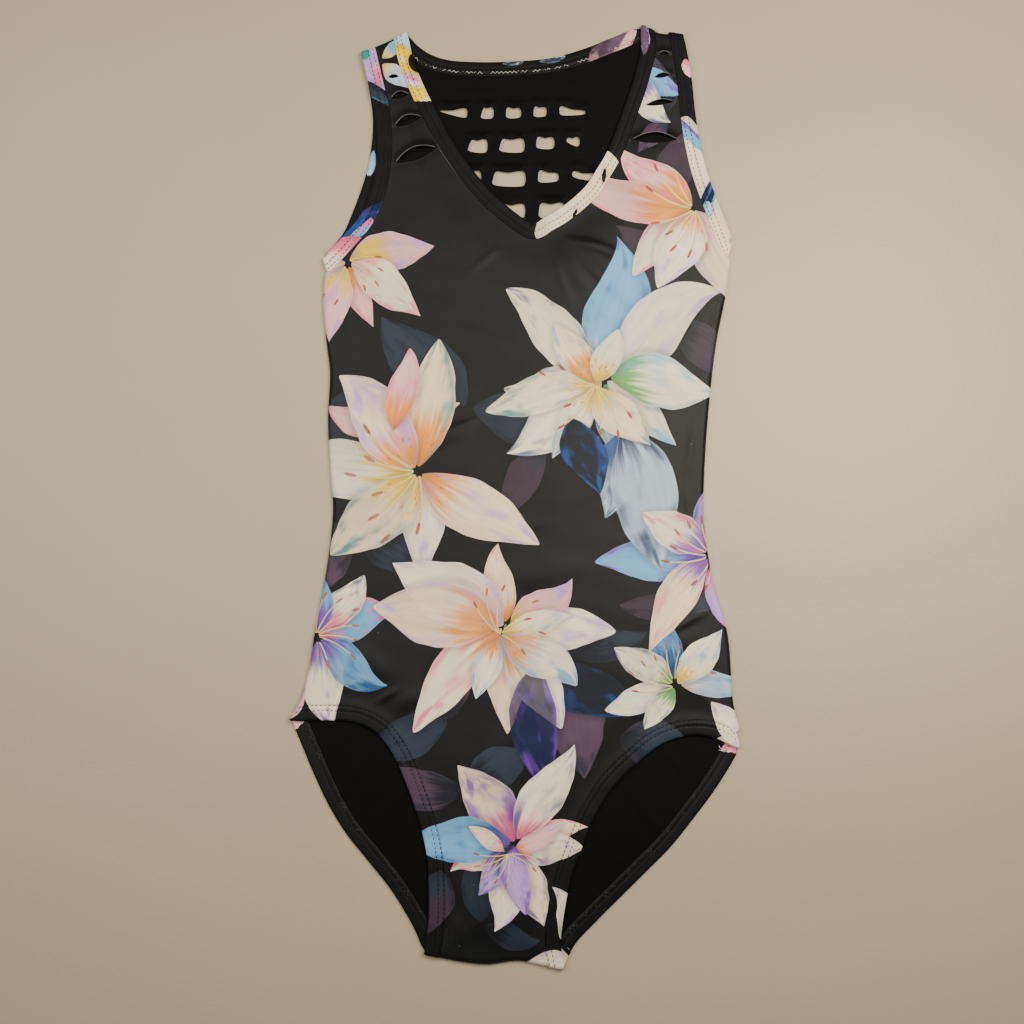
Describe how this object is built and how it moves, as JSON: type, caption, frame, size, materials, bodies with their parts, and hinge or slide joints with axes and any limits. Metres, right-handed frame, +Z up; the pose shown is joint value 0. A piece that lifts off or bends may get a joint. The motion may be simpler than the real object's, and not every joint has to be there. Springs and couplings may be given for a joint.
{
  "type": "leotard",
  "caption": "Child's sleeveless V-neck leotard in flower-printed stretch knit, laid flat front up, with cut shoulder straps, a latticed lined back, bound neck and arms and hemmed legs.",
  "frame": {"origin": "middle of the underside, on the surface that the garment lies on", "axes": "+Z up out of the front, +Y towards the shoulders, +X to the right as seen from above"},
  "size_m": [0.2752, 0.5914, 0.007],
  "materials": {
    "printed_knit": "smooth stretch knit, black ground printed with large pale lilies, soft low sheen",
    "black_lining": "plain black knit lining, faint ribs",
    "binding": "folded strips of the printed knit, double stitched",
    "hem": "turned hems of the printed knit, double stitched"
  },
  "bodies": {
    "root": {"back_panel": "printed_knit", "back_lining": "black_lining", "front_panel": "printed_knit", "neck_binding": "binding", "arm_binding_left": "binding", "arm_binding_right": "binding", "leg_hem_left": "hem", "leg_hem_right": "hem"}
  },
  "joints": []
}
